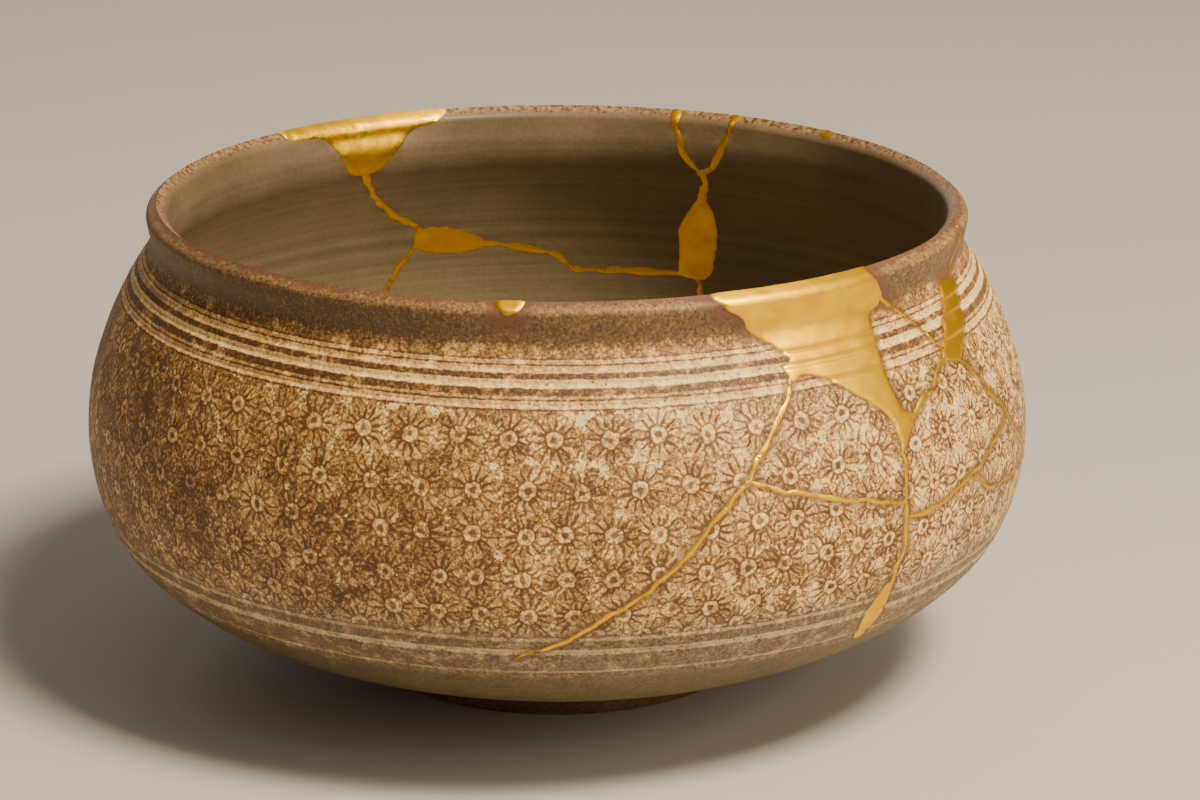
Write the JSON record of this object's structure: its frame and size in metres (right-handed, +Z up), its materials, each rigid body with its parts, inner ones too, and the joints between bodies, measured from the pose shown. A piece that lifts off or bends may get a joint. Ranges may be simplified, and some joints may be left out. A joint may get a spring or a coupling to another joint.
{
  "type": "bowl",
  "caption": "Low round-bellied stoneware bowl with inlaid stamped flowers and turned grooves, broken and mended with gold lacquer seams and fills.",
  "frame": {"origin": "centre of the foot ring's circle on the surface the bowl stands on", "axes": "+Z up along the bowl's axis; the front, with the large gold rim fill to the viewer's right of it, faces -Y; +X to the viewer's right"},
  "size_m": [0.18, 0.18, 0.0916],
  "materials": {
    "stoneware": "satin clear glaze over brown stoneware inlaid with cream slip",
    "gold_lacquer": "burnished gold powder on lacquer"
  },
  "bodies": {
    "root": {"bowl_body": "stoneware", "sherd_front": "stoneware", "sherd_shoulder": "stoneware", "sherd_rim_right": "stoneware", "sherd_side_large": "stoneware", "sherd_side_small": "stoneware", "sherd_back_large": "stoneware", "sherd_back_small": "stoneware", "gold_front": "gold_lacquer", "gold_back": "gold_lacquer", "gold_chip_front": "gold_lacquer", "gold_chip_back": "gold_lacquer"}
  },
  "joints": []
}
